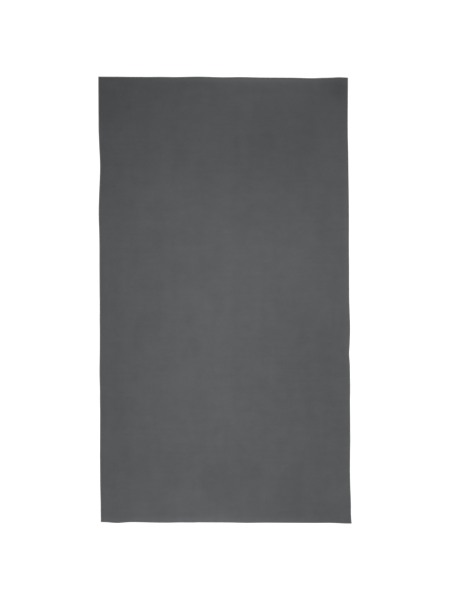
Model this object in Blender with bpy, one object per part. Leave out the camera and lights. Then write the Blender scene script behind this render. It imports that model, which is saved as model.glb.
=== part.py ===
"""Quick-dry microfibre towel, laid flat.

One panel of brushed warp-knit cloth, with each of its four edges overlocked by three
threads: a needle thread, an upper looper thread and a lower looper thread.

Frame: metres, +Z up, +X to the towel's right and +Y to its head end.  The origin is at the
middle of the underside, on the surface that the towel lies on.
"""

import math

import bmesh
import bpy

# Driving dimensions.
TOWEL_WIDTH = 1.004  # along X, over the edge threads
TOWEL_LENGTH = 1.792  # along Y, over the edge threads
CLOTH_THICKNESS = 0.001  # cloth with its nap, lying loose
SEAM_WIDTH = 0.005  # from the finished edge to the inner ends of the looper threads' loops
LOOPER_THICKNESS = 0.00035  # bulked looper threads, lying flat on the cloth
NEEDLE_DIAMETER = 0.0003  # needle thread
CLEARANCE = 0.0003  # between pieces that touch

# Heights above the surface that the towel lies on.
PINCHED_UNDERSIDE = LOOPER_THICKNESS + CLEARANCE
UPPER_LOOPER_UNDERSIDE = CLOTH_THICKNESS + CLEARANCE
UPPER_LOOPER_TOP = UPPER_LOOPER_UNDERSIDE + LOOPER_THICKNESS
LOOPERS_MEET = (PINCHED_UNDERSIDE + CLOTH_THICKNESS) / 2

# Distances in from the finished edge.
CUT_EDGE = LOOPER_THICKNESS + CLEARANCE
PINCHED_RIM = SEAM_WIDTH + CLEARANCE
NEEDLE_LINE = PINCHED_RIM + NEEDLE_DIAMETER / 2
SEAM_BAND = PINCHED_RIM + NEEDLE_DIAMETER

# The side seams are sewn first, and the end seams are sewn over their ends.
END_SEAM_RUN = TOWEL_WIDTH
SIDE_SEAM_RUN = TOWEL_LENGTH - 2 * (SEAM_BAND + CLEARANCE)

# Each edge: its name, its distance from the towel's middle, the turn that makes +X face
# out of it, and the length of its seam.
EDGES = (
    ("right_side", TOWEL_WIDTH / 2, 0.0, SIDE_SEAM_RUN),
    ("head_end", TOWEL_LENGTH / 2, math.pi / 2, END_SEAM_RUN),
    ("left_side", TOWEL_WIDTH / 2, math.pi, SIDE_SEAM_RUN),
    ("foot_end", TOWEL_LENGTH / 2, -math.pi / 2, END_SEAM_RUN),
)

# Linear base colour and roughness of each kind of piece.
CLOTH_FINISH = ((0.098, 0.100, 0.105), 0.95)
NEEDLE_FINISH = ((0.132, 0.134, 0.139), 0.60)
LOOPER_FINISH = ((0.178, 0.180, 0.185), 0.75)

# A bevel of this resolution gives a thread 8 sides.
THREAD_BEVEL_RESOLUTION = 2


def clear_scene():
    """Remove every object that the scene opens with."""
    for thing in list(bpy.data.objects):
        bpy.data.objects.remove(thing, do_unlink=True)


def add_material(name, finish):
    """Return a plain, non-metallic material with this base colour and roughness."""
    colour, roughness = finish
    material = bpy.data.materials.new(name)
    material.use_nodes = True
    shader = material.node_tree.nodes["Principled BSDF"]
    shader.inputs["Base Color"].default_value = (*colour, 1.0)
    shader.inputs["Roughness"].default_value = roughness
    shader.inputs["Metallic"].default_value = 0.0
    return material


def add_piece(name, data, finish, collection, edge=None):
    """Add an object, in a material of its own, under its edge's empty if it has one."""
    piece = bpy.data.objects.new(name, data)
    data.materials.append(add_material(name, finish))
    collection.objects.link(piece)
    piece.parent = edge
    return piece


def add_cloth_panel(collection):
    """Add the cloth: a slab whose rim is stepped up to lie on the lower looper threads."""
    width = TOWEL_WIDTH - 2 * CUT_EDGE
    length = TOWEL_LENGTH - 2 * CUT_EDGE
    pinched_thickness = CLOTH_THICKNESS - PINCHED_UNDERSIDE

    slab = bmesh.new()
    bmesh.ops.create_cube(slab, size=1.0)
    bmesh.ops.scale(slab, vec=(width, length, pinched_thickness), verts=slab.verts)
    lift = (0.0, 0.0, PINCHED_UNDERSIDE + pinched_thickness / 2)
    bmesh.ops.translate(slab, vec=lift, verts=slab.verts)

    underside = min(slab.faces, key=lambda face: face.calc_center_median().z)
    rim = PINCHED_RIM - CUT_EDGE
    bmesh.ops.inset_region(slab, faces=[underside], thickness=rim, use_even_offset=True)
    lowered = bmesh.ops.extrude_discrete_faces(slab, faces=[underside])["faces"][0]
    bmesh.ops.translate(slab, vec=(0.0, 0.0, -PINCHED_UNDERSIDE), verts=lowered.verts)

    mesh = bpy.data.meshes.new("cloth_panel")
    slab.to_mesh(mesh)
    slab.free()
    add_piece("cloth_panel", mesh, CLOTH_FINISH, collection)


def add_looper_thread(name, outline, run, edge, collection):
    """Add the space that a looper thread's stitches fill, as an outline run along the edge.

    The outline's points are (distance in from the finished edge, height).
    """
    curve = bpy.data.curves.new(name, "CURVE")
    curve.dimensions = "2D"
    curve.fill_mode = "BOTH"
    curve.extrude = run / 2
    spline = curve.splines.new("POLY")
    spline.points.add(len(outline) - 1)
    for point, (inwards, height) in zip(spline.points, outline):
        point.co = (-inwards, height, 0.0, 1.0)
    spline.use_cyclic_u = True
    thread = add_piece(name, curve, LOOPER_FINISH, collection, edge)
    thread.rotation_euler = (math.pi / 2, 0.0, 0.0)


def add_upper_looper_thread(name, run, edge, collection):
    """Add the thread that covers the upper face and the upper half of the cut edge."""
    lip_end = LOOPERS_MEET + CLEARANCE / 2
    outline = (
        (0.0, lip_end),
        (0.0, UPPER_LOOPER_TOP),
        (SEAM_WIDTH, UPPER_LOOPER_TOP),
        (SEAM_WIDTH, UPPER_LOOPER_UNDERSIDE),
        (LOOPER_THICKNESS, UPPER_LOOPER_UNDERSIDE),
        (LOOPER_THICKNESS, lip_end),
    )
    add_looper_thread(name + "_upper_looper_thread", outline, run, edge, collection)


def add_lower_looper_thread(name, run, edge, collection):
    """Add the thread that covers the underside and the lower half of the cut edge."""
    lip_end = LOOPERS_MEET - CLEARANCE / 2
    outline = (
        (0.0, lip_end),
        (LOOPER_THICKNESS, lip_end),
        (LOOPER_THICKNESS, LOOPER_THICKNESS),
        (SEAM_WIDTH, LOOPER_THICKNESS),
        (SEAM_WIDTH, 0.0),
        (0.0, 0.0),
    )
    add_looper_thread(name + "_lower_looper_thread", outline, run, edge, collection)


def add_needle_thread(name, run, edge, collection):
    """Add the thread that runs along the inner ends of the upper looper thread's loops."""
    name = name + "_needle_thread"
    curve = bpy.data.curves.new(name, "CURVE")
    curve.dimensions = "3D"
    curve.bevel_depth = NEEDLE_DIAMETER / 2
    curve.bevel_resolution = THREAD_BEVEL_RESOLUTION
    curve.use_fill_caps = True
    spline = curve.splines.new("POLY")
    spline.points.add(1)
    height = UPPER_LOOPER_UNDERSIDE + NEEDLE_DIAMETER / 2
    for point, along in zip(spline.points, (-run / 2, run / 2)):
        point.co = (-NEEDLE_LINE, along, height, 1.0)
    add_piece(name, curve, NEEDLE_FINISH, collection, edge)


def add_edge(name, distance, turn, collection):
    """Add the empty that an edge's threads hang on: +X faces out, +Y runs along the edge."""
    edge = bpy.data.objects.new(name, None)
    edge.location = (distance * math.cos(turn), distance * math.sin(turn), 0.0)
    edge.rotation_euler = (0.0, 0.0, turn)
    collection.objects.link(edge)
    return edge


def main():
    """Build the towel."""
    clear_scene()
    towel = bpy.data.collections.new("quick_dry_towel")
    bpy.context.scene.collection.children.link(towel)
    add_cloth_panel(towel)
    for name, distance, turn, run in EDGES:
        edge = add_edge(name, distance, turn, towel)
        add_needle_thread(name, run, edge, towel)
        add_upper_looper_thread(name, run, edge, towel)
        add_lower_looper_thread(name, run, edge, towel)


main()
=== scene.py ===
"""The looks of a quick-dry towel: one thin sheet of brushed microfibre, overlocked on all four edges.

It lies flat on the floor.  Lengths are metres in the CAD model's frame: +Y runs to the head end, and
+Z is up.  Everything is first made flat, and then one function, lay(), gives the cloth and the
stitching the same outline and ripples.
"""

import math

import bpy
import numpy as np
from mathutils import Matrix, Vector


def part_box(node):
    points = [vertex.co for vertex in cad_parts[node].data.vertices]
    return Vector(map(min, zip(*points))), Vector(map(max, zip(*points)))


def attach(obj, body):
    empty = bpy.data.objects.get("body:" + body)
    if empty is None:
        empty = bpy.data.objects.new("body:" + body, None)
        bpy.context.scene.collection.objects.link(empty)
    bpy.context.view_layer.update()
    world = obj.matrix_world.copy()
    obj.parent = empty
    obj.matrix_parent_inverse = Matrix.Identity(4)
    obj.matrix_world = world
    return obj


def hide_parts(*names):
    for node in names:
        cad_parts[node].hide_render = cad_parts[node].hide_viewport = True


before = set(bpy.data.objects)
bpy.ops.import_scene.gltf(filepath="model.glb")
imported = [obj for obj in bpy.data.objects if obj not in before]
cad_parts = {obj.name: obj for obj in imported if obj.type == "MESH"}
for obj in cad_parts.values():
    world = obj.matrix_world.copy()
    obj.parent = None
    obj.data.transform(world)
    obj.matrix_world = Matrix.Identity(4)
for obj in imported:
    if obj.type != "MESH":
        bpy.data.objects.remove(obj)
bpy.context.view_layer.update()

# Sizes read from the frame.
CLOTH_LOW, CLOTH_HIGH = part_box("cloth_panel")
CUT_X, CUT_Y = CLOTH_HIGH.x, CLOTH_HIGH.y
EDGE_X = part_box("right_side_upper_looper_thread")[1].x
EDGE_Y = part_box("head_end_upper_looper_thread")[1].y
CUT_TO_EDGE = EDGE_X - CUT_X
END_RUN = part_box("head_end_upper_looper_thread")[1].x * 2
SIDE_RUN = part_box("right_side_upper_looper_thread")[1].y * 2
NEEDLE_LOW, NEEDLE_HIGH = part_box("right_side_needle_thread")
NEEDLE_LINE = EDGE_X - (NEEDLE_LOW.x + NEEDLE_HIGH.x) / 2

# The cloth's rim is pinched: the upper looper's CAD lip ends this far above its underside.
LIP_OVER_UNDERSIDE = 0.00035
RIM_TOP = CLOTH_HIGH.z
RIM_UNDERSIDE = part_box("right_side_upper_looper_thread")[0].z - LIP_OVER_UNDERSIDE

# Stitching.
STITCH_PITCH = 0.0025
LOOPER_HALF_WIDTH = 0.00042
LOOPER_HALF_THICKNESS = 0.00016
NEEDLE_RADIUS = 0.00014
LOOPER_SIDES = 8
NEEDLE_SIDES = 6
THREAD_MAP = "length_and_turn"

# How each looper goes round the cut edge.
WRAP_RADIUS = 0.00034
WRAP_ANGLE = math.radians(118)

# A looper narrows by this share where it turns: from the first share of its way on, and up to the second.
TURN_NARROWING = 0.35
EDGE_TURN_START = 0.80
NEEDLE_TURN_END = 0.15

# How uneven the stitches are, as shares of the pitch and of a looper's way across the seam.
PITCH_JITTER = 0.045
REACH_JITTER = 0.012
STITCH_SEED = 4

# Cloth mesh: small squares at the rim that grow to the inner size.
RIM_SQUARE = 0.0009
INNER_SQUARE = 0.0085
SQUARE_GROWTH = 1.16
SHARP_ANGLE = math.radians(50)

# How far the cut edge swells into the loops that go round it, past its CAD solid.
EDGE_EASE = 0.00016

# The seam pinches the cloth's underside up to this far past the needle line, settles its top by this
# much, and pulls a groove along the needle line.
PINCH_REACH = 0.0022
RIM_SETTLING = 0.00002
GROOVE_DEPTH = 0.00014
GROOVE_REACH = 0.0008

# The camera looks straight down, from where its view is this long on the floor.
LENS = 100.0
SENSOR = 36.0
FRAME_LENGTH = 2.4155
CAMERA_X, CAMERA_Y = 0.002, -0.0002


# Lying flat ---------------------------------------------------------------------------------------

# How far the cloth leans in x for each metre along y, and in y for each metre along x: a real cut is
# never quite square.
LEAN_X, LEAN_Y = -0.0064, -0.0052

# Places where an edge bows, as (place along the edge, reach, depth); a negative depth bows outward.
EDGE_BOWS = {
    "left": [
        (0.535, 0.085, 0.0046), (0.350, 0.070, -0.0018), (-0.290, 0.070, -0.0014),
        (-0.290, 0.260, -0.0012), (-0.680, 0.200, -0.0030),
    ],
    "right": [
        (0.700, 0.085, 0.0018), (0.370, 0.120, -0.0010), (-0.105, 0.060, -0.0026),
        (-0.215, 0.030, 0.0022), (-0.300, 0.100, -0.0012), (-0.500, 0.080, -0.0008),
        (-0.690, 0.080, 0.0012), (-0.830, 0.060, -0.0012), (-0.896, 0.025, -0.0026),
    ],
    "head": [
        (-0.097, 0.060, -0.0022), (0.075, 0.050, -0.0013), (0.354, 0.050, 0.0016),
        (0.467, 0.030, -0.0021),
    ],
    "foot": [
        (-0.437, 0.034, -0.0039), (-0.260, 0.080, -0.0020), (0.085, 0.045, -0.0010),
        (0.420, 0.040, 0.0008), (0.478, 0.045, -0.0010),
    ],
}

# How far into the cloth a bow is felt.
BOW_FADE = 0.07

# How far the loose loops of the seam spread outward when the towel is pressed flat.
SPREAD = 0.0005

# Soft ripples that the cloth keeps from having been folded: waves of many lengths and directions.
RIPPLE_SEED = 11
RIPPLE_COUNT = 18
RIPPLE_SHORTEST, RIPPLE_LONGEST = 0.09, 0.42
RIPPLE_SLOPE = 0.0190

# The serged edges run longer than the cloth beside them, so they wave, and the waves fade inward.
WAVE_COUNT = 7
WAVE_SHORTEST, WAVE_LONGEST = 0.075, 0.260
WAVE_SLOPE = 0.030
WAVE_REACH = 0.030

# Soft ripples parallel to an end: (height, wavelength, how far they reach).
END_RIPPLES = {"foot": (0.00042, 0.040, 0.075), "head": (0.00030, 0.034, 0.040)}

# Corners that curl up a little: (x side, y side, lift, reach).
CORNER_CURLS = [
    (1, 1, 0.0040, 0.055), (-1, 1, 0.0016, 0.040), (1, -1, 0.0034, 0.045), (-1, -1, 0.0022, 0.050),
]

# Where the ripples would take the cloth below the floor it rests there, and meets it with this
# softness.  Nothing lifts higher than the second value.
REST_SOFTNESS = 0.0004
HIGHEST_LIFT = 0.0085


def random_waves(random, count, shortest, longest, slope):
    """Waves as (height, radians in a metre, direction, phase), each equally steep."""
    lengths = shortest * (longest / shortest) ** random.random(count)
    directions = random.uniform(0, math.pi, count)
    phases = random.uniform(0, 2 * math.pi, count)
    return list(zip(slope * lengths / (2 * math.pi), 2 * math.pi / lengths, directions, phases))


ripple_random = np.random.default_rng(RIPPLE_SEED)
RIPPLES = random_waves(ripple_random, RIPPLE_COUNT, RIPPLE_SHORTEST, RIPPLE_LONGEST, RIPPLE_SLOPE)
EDGE_WAVES = {
    side: random_waves(ripple_random, WAVE_COUNT, WAVE_SHORTEST, WAVE_LONGEST, WAVE_SLOPE)
    for side in EDGE_BOWS
}


def edge_distances(x, y):
    """For each edge, how far a flat point is from it and where it is along it."""
    return {
        "left": (x + EDGE_X, y),
        "right": (EDGE_X - x, y),
        "head": (EDGE_Y - y, x),
        "foot": (y + EDGE_Y, x),
    }


def bow(side, inward, along):
    """How far the outline at this edge moves inward, fading into the cloth."""
    depth = sum(d * np.exp(-(((along - at) / reach) ** 2)) for at, reach, d in EDGE_BOWS[side])
    return (depth - SPREAD) * np.exp(-((inward / BOW_FADE) ** 2))


def relief(x, y):
    """How far the cloth is lifted off the floor at a flat point."""
    lift = np.zeros_like(x)
    for height, pace, direction, phase in RIPPLES:
        along = x * math.cos(direction) + y * math.sin(direction)
        lift += height * np.sin(pace * along + phase)
    for side, (inward, along) in edge_distances(x, y).items():
        fade = np.exp(-np.clip(inward, 0, None) / WAVE_REACH)
        for height, pace, _, phase in EDGE_WAVES[side]:
            lift += height * fade * np.sin(pace * along + phase)
        if side in END_RIPPLES:
            height, wavelength, reach = END_RIPPLES[side]
            fade = np.exp(-((inward / reach) ** 2))
            lift += height * fade * np.cos(2 * math.pi * inward / wavelength)
    for side_x, side_y, height, reach in CORNER_CURLS:
        away = np.hypot(x - side_x * EDGE_X, y - side_y * EDGE_Y)
        lift += height * np.exp(-((away / reach) ** 2))
    resting = REST_SOFTNESS * np.logaddexp(0, lift / REST_SOFTNESS)
    return HIGHEST_LIFT * np.tanh(resting / HIGHEST_LIFT)


def lay(points):
    """Flat points moved to where they lie on the floor."""
    x, y, z = points.T
    near = edge_distances(x, y)
    shift = {side: bow(side, *near[side]) for side in near}
    laid_x = x + LEAN_X * y + shift["left"] - shift["right"]
    laid_y = y + LEAN_Y * x + shift["foot"] - shift["head"]
    return np.column_stack([laid_x, laid_y, z + relief(x, y)])


# Meshes -------------------------------------------------------------------------------------------


def add_piece(name, points, faces, material):
    """A smooth-shaded mesh object of points and faces in the model's frame."""
    mesh = bpy.data.meshes.new(name)
    mesh.from_pydata(points.tolist(), [], faces)
    mesh.materials.append(material)
    mesh.shade_smooth()
    piece = bpy.data.objects.new(name, mesh)
    bpy.context.scene.collection.objects.link(piece)
    return piece


def smoothstep(value, low, high):
    """0 up to low, 1 from high on, and a smooth rise between them."""
    share = np.clip((value - low) / (high - low), 0, 1)
    return share * share * (3 - 2 * share)


def grid_lines(half):
    """Places of the mesh lines from -half to half, close together at both ends."""
    steps = []
    step = RIM_SQUARE
    while step < INNER_SQUARE:
        steps.append(step)
        step *= SQUARE_GROWTH
    rim = np.cumsum(steps)
    inner_half = half - rim[-1]
    inner = np.linspace(-inner_half, inner_half, round(2 * inner_half / INNER_SQUARE) + 1)
    outer = half - np.concatenate([[0.0], rim[:-1]])
    return np.concatenate([-outer, inner, outer[::-1]])


def cloth_heights(from_cut):
    """Heights of the cloth's underside and top at a distance from its cut edge."""
    needle = NEEDLE_LINE - CUT_TO_EDGE
    pinched = 1 - smoothstep(from_cut, needle, needle + PINCH_REACH)
    groove = GROOVE_DEPTH * np.exp(-(((from_cut - needle) / GROOVE_REACH) ** 2))
    underside = CLOTH_LOW.z + (RIM_UNDERSIDE - CLOTH_LOW.z) * pinched
    top = RIM_TOP - RIM_SETTLING * pinched - groove
    return underside, top


def add_cloth(material):
    """The cloth: top, underside and cut edge as one closed sheet, with the nap's tone and painted light
    and shade at each point.
    """
    lines_x, lines_y = grid_lines(CUT_X + EDGE_EASE), grid_lines(CUT_Y + EDGE_EASE)
    x, y = np.meshgrid(lines_x, lines_y)
    x, y = x.ravel(), y.ravel()
    underside, top = cloth_heights(np.minimum(CUT_X - abs(x), CUT_Y - abs(y)))
    flat = np.concatenate([np.column_stack([x, y, top]), np.column_stack([x, y, underside])])
    columns, rows = len(lines_x), len(lines_y)
    index = np.arange(columns * rows).reshape(rows, columns)
    a, b = index[:-1, :-1].ravel(), index[:-1, 1:].ravel()
    c, d = index[1:, 1:].ravel(), index[1:, :-1].ravel()
    below = columns * rows
    upper = np.column_stack([a, b, c, d])
    lower = np.column_stack([d, c, b, a]) + below
    rim = np.concatenate([index[0], index[1:, -1], index[-1, -2::-1], index[-2:0:-1, 0]])
    onward = np.roll(rim, -1)
    side = np.column_stack([rim + below, onward + below, onward, rim])
    faces = np.concatenate([upper, lower, side]).tolist()
    piece = add_piece("towel_cloth", lay(flat), faces, material)
    piece.data.set_sharp_from_angle(angle=SHARP_ANGLE)
    # Each point keeps the nap's tone with painted light and shade.
    tone = piece.data.attributes.new("nap_and_light_tone", "FLOAT", "POINT")
    tone.data.foreach_set("value", nap_and_light_tone(flat[:, 0], flat[:, 1]).astype(np.float32))
    return piece


def add_thread(name, points, outward, half_width, half_thickness, sides, material):
    """A thread along points, flat on the side that outward points to, with a map of length and turn."""
    along = np.gradient(points, axis=0)
    along /= np.linalg.norm(along, axis=1, keepdims=True)
    across = np.cross(along, outward)
    across /= np.linalg.norm(across, axis=1, keepdims=True)
    up = np.cross(across, along)
    turn = 2 * math.pi * np.arange(sides) / sides
    ring = (
        points[:, None]
        + across[:, None] * (half_width[:, None] * np.cos(turn))[:, :, None]
        + up[:, None] * (half_thickness * np.sin(turn))[None, :, None]
    )
    count = len(points)
    index = np.arange(count * sides).reshape(count, sides)
    onward = np.roll(index, -1, axis=1)
    quads = np.stack([index[:-1], onward[:-1], onward[1:], index[1:]], axis=-1).reshape(-1, 4)
    caps = [index[0, ::-1].tolist(), index[-1].tolist()]
    piece = add_piece(name, ring.reshape(-1, 3), quads.tolist() + caps, material)
    length = np.concatenate([[0.0], np.cumsum(np.linalg.norm(np.diff(points, axis=0), axis=1))])
    u = np.stack([length[:-1], length[:-1], length[1:], length[1:]], axis=-1)
    u = u[:, None].repeat(sides, axis=1)
    side = np.arange(sides)
    v = np.stack([side, side + 1, side + 1, side], axis=-1) / sides
    v = v[None].repeat(count - 1, axis=0)
    quad_map = np.stack([u, v], axis=-1).reshape(-1, 2)
    cap_map = np.zeros((2 * sides, 2))
    cap_map[sides:, 0] = length[-1]
    layer = piece.data.uv_layers.new(name=THREAD_MAP)
    layer.data.foreach_set("uv", np.concatenate([quad_map, cap_map]).ravel())
    return piece


# Stitching ----------------------------------------------------------------------------------------

# One stitch of a looper, as (share of the pitch, share of the way from the needle line round the edge).
LOOPER_STITCH = [
    (0.00, -0.04), (0.06, -0.01), (0.10, 0.09), (0.15, 0.32), (0.21, 0.60), (0.27, 0.82),
    (0.34, 0.92), (0.42, 0.98), (0.50, 1.00), (0.58, 0.98), (0.66, 0.92), (0.74, 0.82),
    (0.82, 0.60), (0.88, 0.32), (0.92, 0.09), (0.95, -0.01),
]

# One stitch of the needle thread, as (share of the pitch, share of the depth): it runs over the
# loopers, then goes through the cloth and back.
NEEDLE_STITCH = [
    (0.00, 0.00), (0.22, 0.02), (0.38, 0.14), (0.44, 0.55), (0.48, 0.95),
    (0.52, 0.95), (0.56, 0.55), (0.62, 0.14), (0.78, 0.02),
]

# Each edge's origin, its directions along and inward, and its seam's length.  The seams all run the
# same way round the towel.
EDGES = {
    "right_side": ((EDGE_X, 0), (0, 1), (-1, 0), SIDE_RUN),
    "head_end": ((0, EDGE_Y), (-1, 0), (0, -1), END_RUN),
    "left_side": ((-EDGE_X, 0), (0, -1), (1, 0), SIDE_RUN),
    "foot_end": ((0, -EDGE_Y), (1, 0), (0, 1), END_RUN),
}


def stitch_line(pattern, run, random):
    """A whole number of stitches that fill a seam: places along it, and the pattern's second values."""
    count = round(run / STITCH_PITCH)
    number = np.arange(count)[:, None]
    shares, values = np.array(pattern).T
    jitter = random.normal(0, PITCH_JITTER, number.shape) * np.sin(math.pi * shares) ** 2
    along = (number + shares + jitter) * run / count - run / 2
    return along.ravel(), np.tile(values, count)


def looper_section(share, upper):
    """Where a looper is across the seam: distance in from the edge, height, and which way is out."""
    reach = NEEDLE_LINE - CUT_TO_EDGE
    wrap = WRAP_ANGLE * WRAP_RADIUS
    way = share * (reach + wrap)
    past = np.clip((way - reach) / WRAP_RADIUS, 0, None)
    middle = (RIM_TOP + RIM_UNDERSIDE) / 2
    half = (RIM_TOP - RIM_UNDERSIDE) / 2 + LOOPER_HALF_THICKNESS
    inward = NEEDLE_LINE - np.minimum(way, reach) - WRAP_RADIUS * np.sin(past)
    height = half - WRAP_RADIUS * (1 - np.cos(past))
    out_inward, out_up = -np.sin(past), np.cos(past)
    turn = 1 if upper else -1
    return inward, middle + turn * height, out_inward, turn * out_up


def on_edge(edge, along, inward, height):
    """Flat points from places along an edge, distances in from it, and heights."""
    origin, forward, inside = EDGES[edge][:3]
    x = origin[0] + forward[0] * along + inside[0] * inward
    y = origin[1] + forward[1] * along + inside[1] * inward
    return np.column_stack([x, y, np.broadcast_to(height, x.shape)])


def add_looper(edge, upper, material, random):
    """One looper thread along one edge: it crosses the seam, goes round the cut edge and comes back."""
    run = EDGES[edge][3]
    if not upper:
        # The lower looper's loops come between the upper looper's.
        run -= STITCH_PITCH
    along, share = stitch_line(LOOPER_STITCH, run, random)
    share = share * (1 + random.normal(0, REACH_JITTER, len(share)))
    inward, height, out_inward, out_up = looper_section(share, upper)
    points = lay(on_edge(edge, along, inward, height))
    inside = EDGES[edge][2]
    outward = np.column_stack([inside[0] * out_inward, inside[1] * out_inward, out_up])
    name = f"{edge}_{'upper' if upper else 'lower'}_looper_stitching"
    # The bulky thread closes up where it turns.
    turning = smoothstep(share, EDGE_TURN_START, 1.0) + smoothstep(-share, -NEEDLE_TURN_END, 0.0)
    half_width = LOOPER_HALF_WIDTH * (1 - TURN_NARROWING * turning)
    return add_thread(name, points, outward, half_width, LOOPER_HALF_THICKNESS, LOOPER_SIDES, material)


def add_needle(edge, material, random):
    """The needle thread of one edge: a dash over each upper looper turn, and a dip through the cloth."""
    along, depth = stitch_line(NEEDLE_STITCH, EDGES[edge][3], random)
    high = RIM_TOP + 2 * LOOPER_HALF_THICKNESS + NEEDLE_RADIUS
    low = RIM_UNDERSIDE - 2 * LOOPER_HALF_THICKNESS - NEEDLE_RADIUS
    height = high + (low - high) * depth
    points = lay(on_edge(edge, along, np.full_like(along, NEEDLE_LINE), height))
    inside = EDGES[edge][2]
    outward = np.tile([inside[0], inside[1], 0.0], (len(points), 1))
    name = f"{edge}_needle_stitching"
    half_width = np.full_like(along, NEEDLE_RADIUS)
    return add_thread(name, points, outward, half_width, NEEDLE_RADIUS, NEEDLE_SIDES, material)


# Materials ----------------------------------------------------------------------------------------

CLOTH_GREY = (0.0983, 0.1008, 0.1057)
LOOPER_GREY = (0.178, 0.180, 0.185)
NEEDLE_GREY = (0.132, 0.134, 0.139)

# The darkest and the lightest tone of a colour are this far apart, as a share of it.
TONE_RANGE = 0.8
BUMP_STRENGTH = 0.8

# Noises of every size line up at their own origin, so the model's middle is this far from it.
NOISE_ORIGIN = (1.317, 2.149, 0.773)

# The nap's noises: the size of their features in metres, their stretch along x, y and z, and detail.
EVEN = (1.0, 1.0, 1.0)
NAP_NOISES = {
    "fibres": (0.00028, (1.0, 0.22, 1.0), 3.0),
    "fuzz": (0.0006, EVEN, 2.0),
    "grain": (0.0013, (1.0, 0.55, 1.0), 2.0),
    "flecks": (0.0028, (1.0, 0.4, 1.0), 2.0),
    "mottle": (0.013, EVEN, 2.0),
    "patches": (0.036, EVEN, 2.0),
    "clouds": (0.110, EVEN, 2.0),
    "strokes": (0.045, (1.0, 0.12, 1.0), 2.0),
    "bands": (0.014, (0.08, 1.0, 1.0), 2.0),
}
RIB_PITCH = 0.0012

# How much each layer of the cloth counts in its tone, its bumps and its roughness.
CLOTH_TONE = {
    "fibres": 0.60, "fuzz": 0.36, "ribs": 0.03, "grain": 0.36, "flecks": 0.13, "mottle": 0.09,
    "patches": 0.19, "clouds": 0.17, "strokes": 0.16, "bands": 0.11,
}
CLOTH_BUMPS = {"fibres": 1.0, "fuzz": 0.8, "ribs": 0.25, "grain": 1.1, "flecks": 0.9}
CLOTH_WEAR = {"fibres": 0.10, "flecks": 0.08}
CLOTH_ROUGHNESS = 0.92
CLOTH_BUMP_DEPTH = 0.00020

# The same for a thread, whose loose fibres are this long and this many round it.
THREAD_TONE = {"plies": 0.14, "fibres": 0.40, "shade": 0.15}
THREAD_BUMPS = {"plies": 0.6, "fibres": 0.8}
THREAD_BUMP_DEPTH = 0.00005
THREAD_FIBRE_LENGTH = 0.0007
THREAD_FIBRES_ROUND = 14.0
THREAD_SHADE_SIZE = 0.006

# Broad patches, partly where the nap lies differently and partly painted light and shade of uneven
# lighting, as (x, y, reach in x, reach in y, relative tone).
SHADE_AND_NAP_PATCHES = [
    (-0.44, 0.62, 0.20, 0.30, -0.06), (-0.50, 0.85, 0.16, 0.13, -0.09),
    (0.17, 0.88, 0.24, 0.10, 0.15), (0.16, 0.58, 0.22, 0.13, -0.06),
    (-0.24, 0.40, 0.14, 0.15, 0.04), (0.50, 0.62, 0.09, 0.15, 0.05),
    (0.10, 0.15, 0.20, 0.42, 0.05), (0.47, 0.30, 0.14, 0.42, 0.095),
    (0.28, 0.15, 0.16, 0.10, 0.045), (0.26, -0.30, 0.20, 0.28, -0.06),
    (-0.44, -0.25, 0.14, 0.30, -0.05), (-0.20, -0.84, 0.34, 0.14, 0.085),
    (0.00, -0.70, 0.22, 0.09, -0.075), (0.48, -0.80, 0.09, 0.18, 0.09),
    (-0.46, -0.86, 0.10, 0.08, 0.04), (0.462, 0.847, 0.038, 0.042, -0.15),
    (0.00, -0.90, 0.60, 0.05, 0.035),
]

# Painted light: beside these seams the cloth is painted lighter for a stretch, where its raised edge
# catches more light, as (relative tone, place along the edge, reach along it), and this far in from the
# edge.
EDGE_LIGHT_BANDS = {
    "right": (0.20, 0.10, 0.75),
    "head": (0.40, 0.13, 0.36),
    "foot": (0.25, -0.12, 0.46),
}
EDGE_LIGHT_REACH = 0.018


def nap_and_light_tone(x, y):
    """Relative tone at a flat point, about zero: the nap's tone mixed with painted light and shade, and
    painted light beside three seams.
    """
    tone = np.zeros_like(x)
    # Broad patches: partly the nap's tone, partly painted light and shade.
    for at_x, at_y, reach_x, reach_y, strength in SHADE_AND_NAP_PATCHES:
        tone += strength * np.exp(-(((x - at_x) / reach_x) ** 2) - ((y - at_y) / reach_y) ** 2)
    near = edge_distances(x, y)
    # Painted light beside the seams, where the raised edge catches more light.
    for side, (strength, at, reach) in EDGE_LIGHT_BANDS.items():
        inward, along = near[side]
        tone += strength * np.exp(-((inward / EDGE_LIGHT_REACH) ** 2) - ((along - at) / reach) ** 2)
    return tone


def add_node(tree, kind, inputs, **settings):
    """A node of that kind; each input is given a value or linked to a socket."""
    node = tree.nodes.new(kind)
    for name, value in settings.items():
        setattr(node, name, value)
    for name, value in inputs.items():
        if isinstance(value, bpy.types.NodeSocket):
            tree.links.new(value, node.inputs[name])
        else:
            node.inputs[name].default_value = value
    return node


def add_noise(tree, place, size, detail=2.0):
    """Noise from 0 to 1, with features of this size in the units of place."""
    inputs = {"Vector": place, "Scale": 1 / size, "Detail": detail}
    return add_node(tree, "ShaderNodeTexNoise", inputs).outputs[0]


def model_place(tree):
    """Where a point is in the model, measured from the noises' own origin."""
    place = add_node(tree, "ShaderNodeTexCoord", {}).outputs["Object"]
    return add_node(tree, "ShaderNodeMapping", {"Vector": place, "Location": NOISE_ORIGIN}).outputs[0]


def stretched(tree, place, scale):
    """The same coordinates, scaled along each axis."""
    return add_node(tree, "ShaderNodeMapping", {"Vector": place, "Scale": scale}).outputs[0]


def add_bands(tree, place, period, direction):
    """A smooth wave from 0 to 1 with this period, in metres."""
    # A wave texture's own period is 2 pi / 20 at scale 1.
    inputs = {"Vector": place, "Scale": 2 * math.pi / 20 / period, "Distortion": 0.6, "Detail Scale": 0.4}
    return add_node(
        tree, "ShaderNodeTexWave", inputs, wave_type="BANDS", bands_direction=direction
    ).outputs["Fac"]


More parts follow.
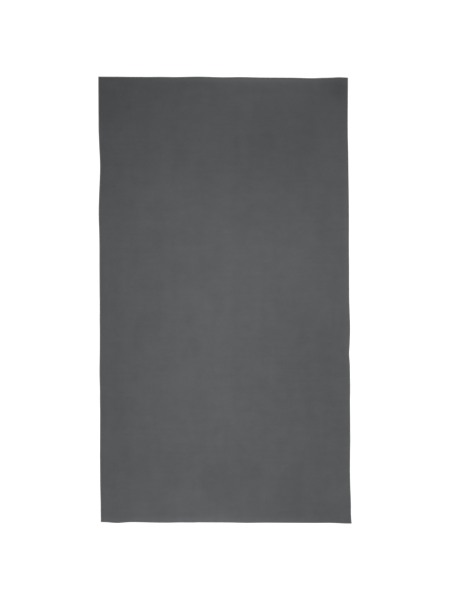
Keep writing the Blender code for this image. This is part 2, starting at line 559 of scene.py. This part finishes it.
def weighted_sum(tree, start, layers, weights):
    """start plus each weighted layer's distance from its middle, 0.5, times its weight."""
    total = start
    for name, weight in weights.items():
        inputs = {0: layers[name], 1: 0.5}
        centred = add_node(tree, "ShaderNodeMath", inputs, operation="SUBTRACT").outputs[0]
        total = add_node(
            tree, "ShaderNodeMath", {0: centred, 1: weight, 2: total}, operation="MULTIPLY_ADD"
        ).outputs[0]
    return total


def add_bump(tree, shader, height, depth):
    """Bumps on the shader, where a height of 0 to 1 stands for this depth in metres."""
    inputs = {"Height": height, "Distance": depth, "Strength": BUMP_STRENGTH}
    bump = add_node(tree, "ShaderNodeBump", inputs)
    tree.links.new(bump.outputs[0], shader.inputs["Normal"])


def add_material(name, roughness, specular, sheen, sheen_roughness):
    """A material and its Principled shader."""
    material = bpy.data.materials.new(name)
    material.use_nodes = True
    shader = material.node_tree.nodes["Principled BSDF"]
    shader.inputs["Roughness"].default_value = roughness
    shader.inputs["Specular IOR Level"].default_value = specular
    shader.inputs["Sheen Weight"].default_value = sheen
    shader.inputs["Sheen Roughness"].default_value = sheen_roughness
    return material, shader


def add_tinted(tree, grey, tone):
    """grey made darker or lighter by tone, which is 0.5 for no change."""
    dark = [c * (1 - TONE_RANGE / 2) for c in grey] + [1]
    light = [c * (1 + TONE_RANGE / 2) for c in grey] + [1]
    mix = add_node(tree, "ShaderNodeMix", {"Factor": tone}, data_type="RGBA")
    colours = [socket for socket in mix.inputs if socket.type == "RGBA"]
    colours[0].default_value, colours[1].default_value = dark, light
    return [socket for socket in mix.outputs if socket.type == "RGBA"][0]


def cloth_material():
    """Brushed microfibre: a short nap that lies along the towel, over a fine knit that hardly shows."""
    material, shader = add_material(
        "brushed_microfibre", roughness=CLOTH_ROUGHNESS, specular=0.12, sheen=0.25, sheen_roughness=0.55
    )
    tree = material.node_tree
    place = model_place(tree)
    layers = {"ribs": add_bands(tree, place, RIB_PITCH, "X")}
    for name, (size, stretch, detail) in NAP_NOISES.items():
        layers[name] = add_noise(tree, stretched(tree, place, stretch), size, detail)
    # The cloth's colour takes the nap's tone with painted light and shade from its points.
    nap_and_light = add_node(tree, "ShaderNodeAttribute", {}, attribute_name="nap_and_light_tone").outputs["Fac"]
    inputs = {0: nap_and_light, 1: 1 / TONE_RANGE, 2: 0.5}
    base = add_node(tree, "ShaderNodeMath", inputs, operation="MULTIPLY_ADD").outputs[0]
    tone = weighted_sum(tree, base, layers, CLOTH_TONE)
    tree.links.new(add_tinted(tree, CLOTH_GREY, tone), shader.inputs["Base Color"])
    add_bump(tree, shader, weighted_sum(tree, 0.5, layers, CLOTH_BUMPS), CLOTH_BUMP_DEPTH)
    rough = weighted_sum(tree, CLOTH_ROUGHNESS, layers, CLOTH_WEAR)
    tree.links.new(rough, shader.inputs["Roughness"])
    return material


def thread_material(name, grey, sheen, strands, twist):
    """Spun thread: strands twisted once in each twist metres, loose fibres, and a drifting shade."""
    material, shader = add_material(
        name, roughness=0.75, specular=0.25, sheen=sheen, sheen_roughness=0.4
    )
    tree = material.node_tree
    around = add_node(tree, "ShaderNodeUVMap", {}, uv_map=THREAD_MAP).outputs[0]
    parts = add_node(tree, "ShaderNodeSeparateXYZ", {0: around}).outputs
    inputs = {0: parts["X"], 1: 1 / twist, 2: parts["Y"]}
    turns = add_node(tree, "ShaderNodeMath", inputs, operation="MULTIPLY_ADD").outputs[0]
    inputs = {0: turns, 1: 2 * math.pi * strands}
    angle = add_node(tree, "ShaderNodeMath", inputs, operation="MULTIPLY").outputs[0]
    wave = add_node(tree, "ShaderNodeMath", {0: angle}, operation="SINE").outputs[0]
    inputs = {0: wave, 1: 0.5, 2: 0.5}
    plies = add_node(tree, "ShaderNodeMath", inputs, operation="MULTIPLY_ADD").outputs[0]
    fibre_grid = stretched(tree, around, (1 / THREAD_FIBRE_LENGTH, THREAD_FIBRES_ROUND, 1.0))
    layers = {
        "plies": plies,
        "fibres": add_noise(tree, fibre_grid, 1.0, 3.0),
        "shade": add_noise(tree, model_place(tree), THREAD_SHADE_SIZE),
    }
    tone = weighted_sum(tree, 0.5, layers, THREAD_TONE)
    tree.links.new(add_tinted(tree, grey, tone), shader.inputs["Base Color"])
    add_bump(tree, shader, weighted_sum(tree, 0.5, layers, THREAD_BUMPS), THREAD_BUMP_DEPTH)
    return material


# Studio -------------------------------------------------------------------------------------------

AMBIENT = 0.52
FLOOR_GREY = 0.45
FLOOR_GLOW = 0.78
STUDIO_RADIUS = 40.0
STRIP = {"x": 0.0, "y": -0.285, "height": 0.9, "width": 0.6, "length": 1.74, "power": 6.9}


def glowing(name, grey, glow):
    """A plain matte material that also gives off some white light, as a lit studio sweep does."""
    material, shader = add_material(name, roughness=1.0, specular=0.0, sheen=0.0, sheen_roughness=0.5)
    shader.inputs["Base Color"].default_value = (grey, grey, grey, 1)
    shader.inputs["Emission Color"].default_value = (1, 1, 1, 1)
    shader.inputs["Emission Strength"].default_value = glow
    material.cycles.emission_sampling = "NONE"
    return material


def add_floor():
    """The floor, and a backdrop that only the camera sees."""
    bpy.ops.mesh.primitive_circle_add(vertices=96, radius=STUDIO_RADIUS, fill_type="NGON")
    floor = bpy.context.object
    floor.name = "floor"
    floor.data.materials.append(glowing("floor_white", FLOOR_GREY, FLOOR_GLOW))
    bpy.ops.mesh.primitive_uv_sphere_add(segments=48, ring_count=24, radius=STUDIO_RADIUS)
    backdrop = bpy.context.object
    backdrop.name = "backdrop"
    backdrop.data.materials.append(glowing("backdrop_white", 0.0, 1.0))
    backdrop.visible_diffuse = False
    backdrop.visible_glossy = False
    backdrop.visible_transmission = False
    backdrop.visible_shadow = False
    return floor


def add_light():
    """A long softbox over the towel, and an even fill."""
    data = bpy.data.lights.new("strip_softbox", "AREA")
    data.shape = "RECTANGLE"
    data.size, data.size_y = STRIP["width"], STRIP["length"]
    data.energy = STRIP["power"]
    softbox = bpy.data.objects.new("strip_softbox", data)
    softbox.location = (STRIP["x"], STRIP["y"], STRIP["height"])
    softbox.visible_camera = False
    bpy.context.scene.collection.objects.link(softbox)
    world = bpy.data.worlds.new("studio")
    world.use_nodes = True
    background = world.node_tree.nodes["Background"]
    background.inputs["Color"].default_value = (1, 1, 1, 1)
    background.inputs["Strength"].default_value = AMBIENT
    bpy.context.scene.world = world


def add_camera():
    """A camera straight above, far enough away for almost no perspective."""
    data = bpy.data.cameras.new("camera")
    data.lens, data.sensor_width = LENS, SENSOR
    camera = bpy.data.objects.new("camera", data)
    camera.location = (CAMERA_X, CAMERA_Y, FRAME_LENGTH * LENS / SENSOR)
    bpy.context.scene.collection.objects.link(camera)
    bpy.context.scene.camera = camera


# The towel ----------------------------------------------------------------------------------------


def add_seam(edge, needle_thread, looper_thread, random):
    """The three threads of one edge's overlock seam."""
    made = []
    for piece, node, slot in [
        (add_needle(edge, needle_thread, random), f"{edge}_needle_thread", "needle_thread"),
        (add_looper(edge, True, looper_thread, random), f"{edge}_upper_looper_thread", "looper_thread"),
        (add_looper(edge, False, looper_thread, random), f"{edge}_lower_looper_thread", "looper_thread"),
    ]:
        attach(piece, "root")
        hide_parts(node)
        made.append(piece)
    return made


def add_towel(floor):
    """The cloth and its stitching, in place of the CAD solids."""
    random = np.random.default_rng(STITCH_SEED)
    cloth = add_cloth(cloth_material())
    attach(cloth, "root")
    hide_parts("cloth_panel")
    needle_thread = thread_material("needle_thread", NEEDLE_GREY, sheen=0.1, strands=3, twist=0.0009)
    looper_thread = thread_material(
        "bulked_looper_thread", LOOPER_GREY, sheen=0.2, strands=5, twist=0.0030
    )
    stitching = []
    for edge in EDGES:
        stitching += add_seam(edge, needle_thread, looper_thread, random)


add_camera()
add_light()
add_towel(add_floor())
bpy.context.scene.view_settings.view_transform = "Standard"
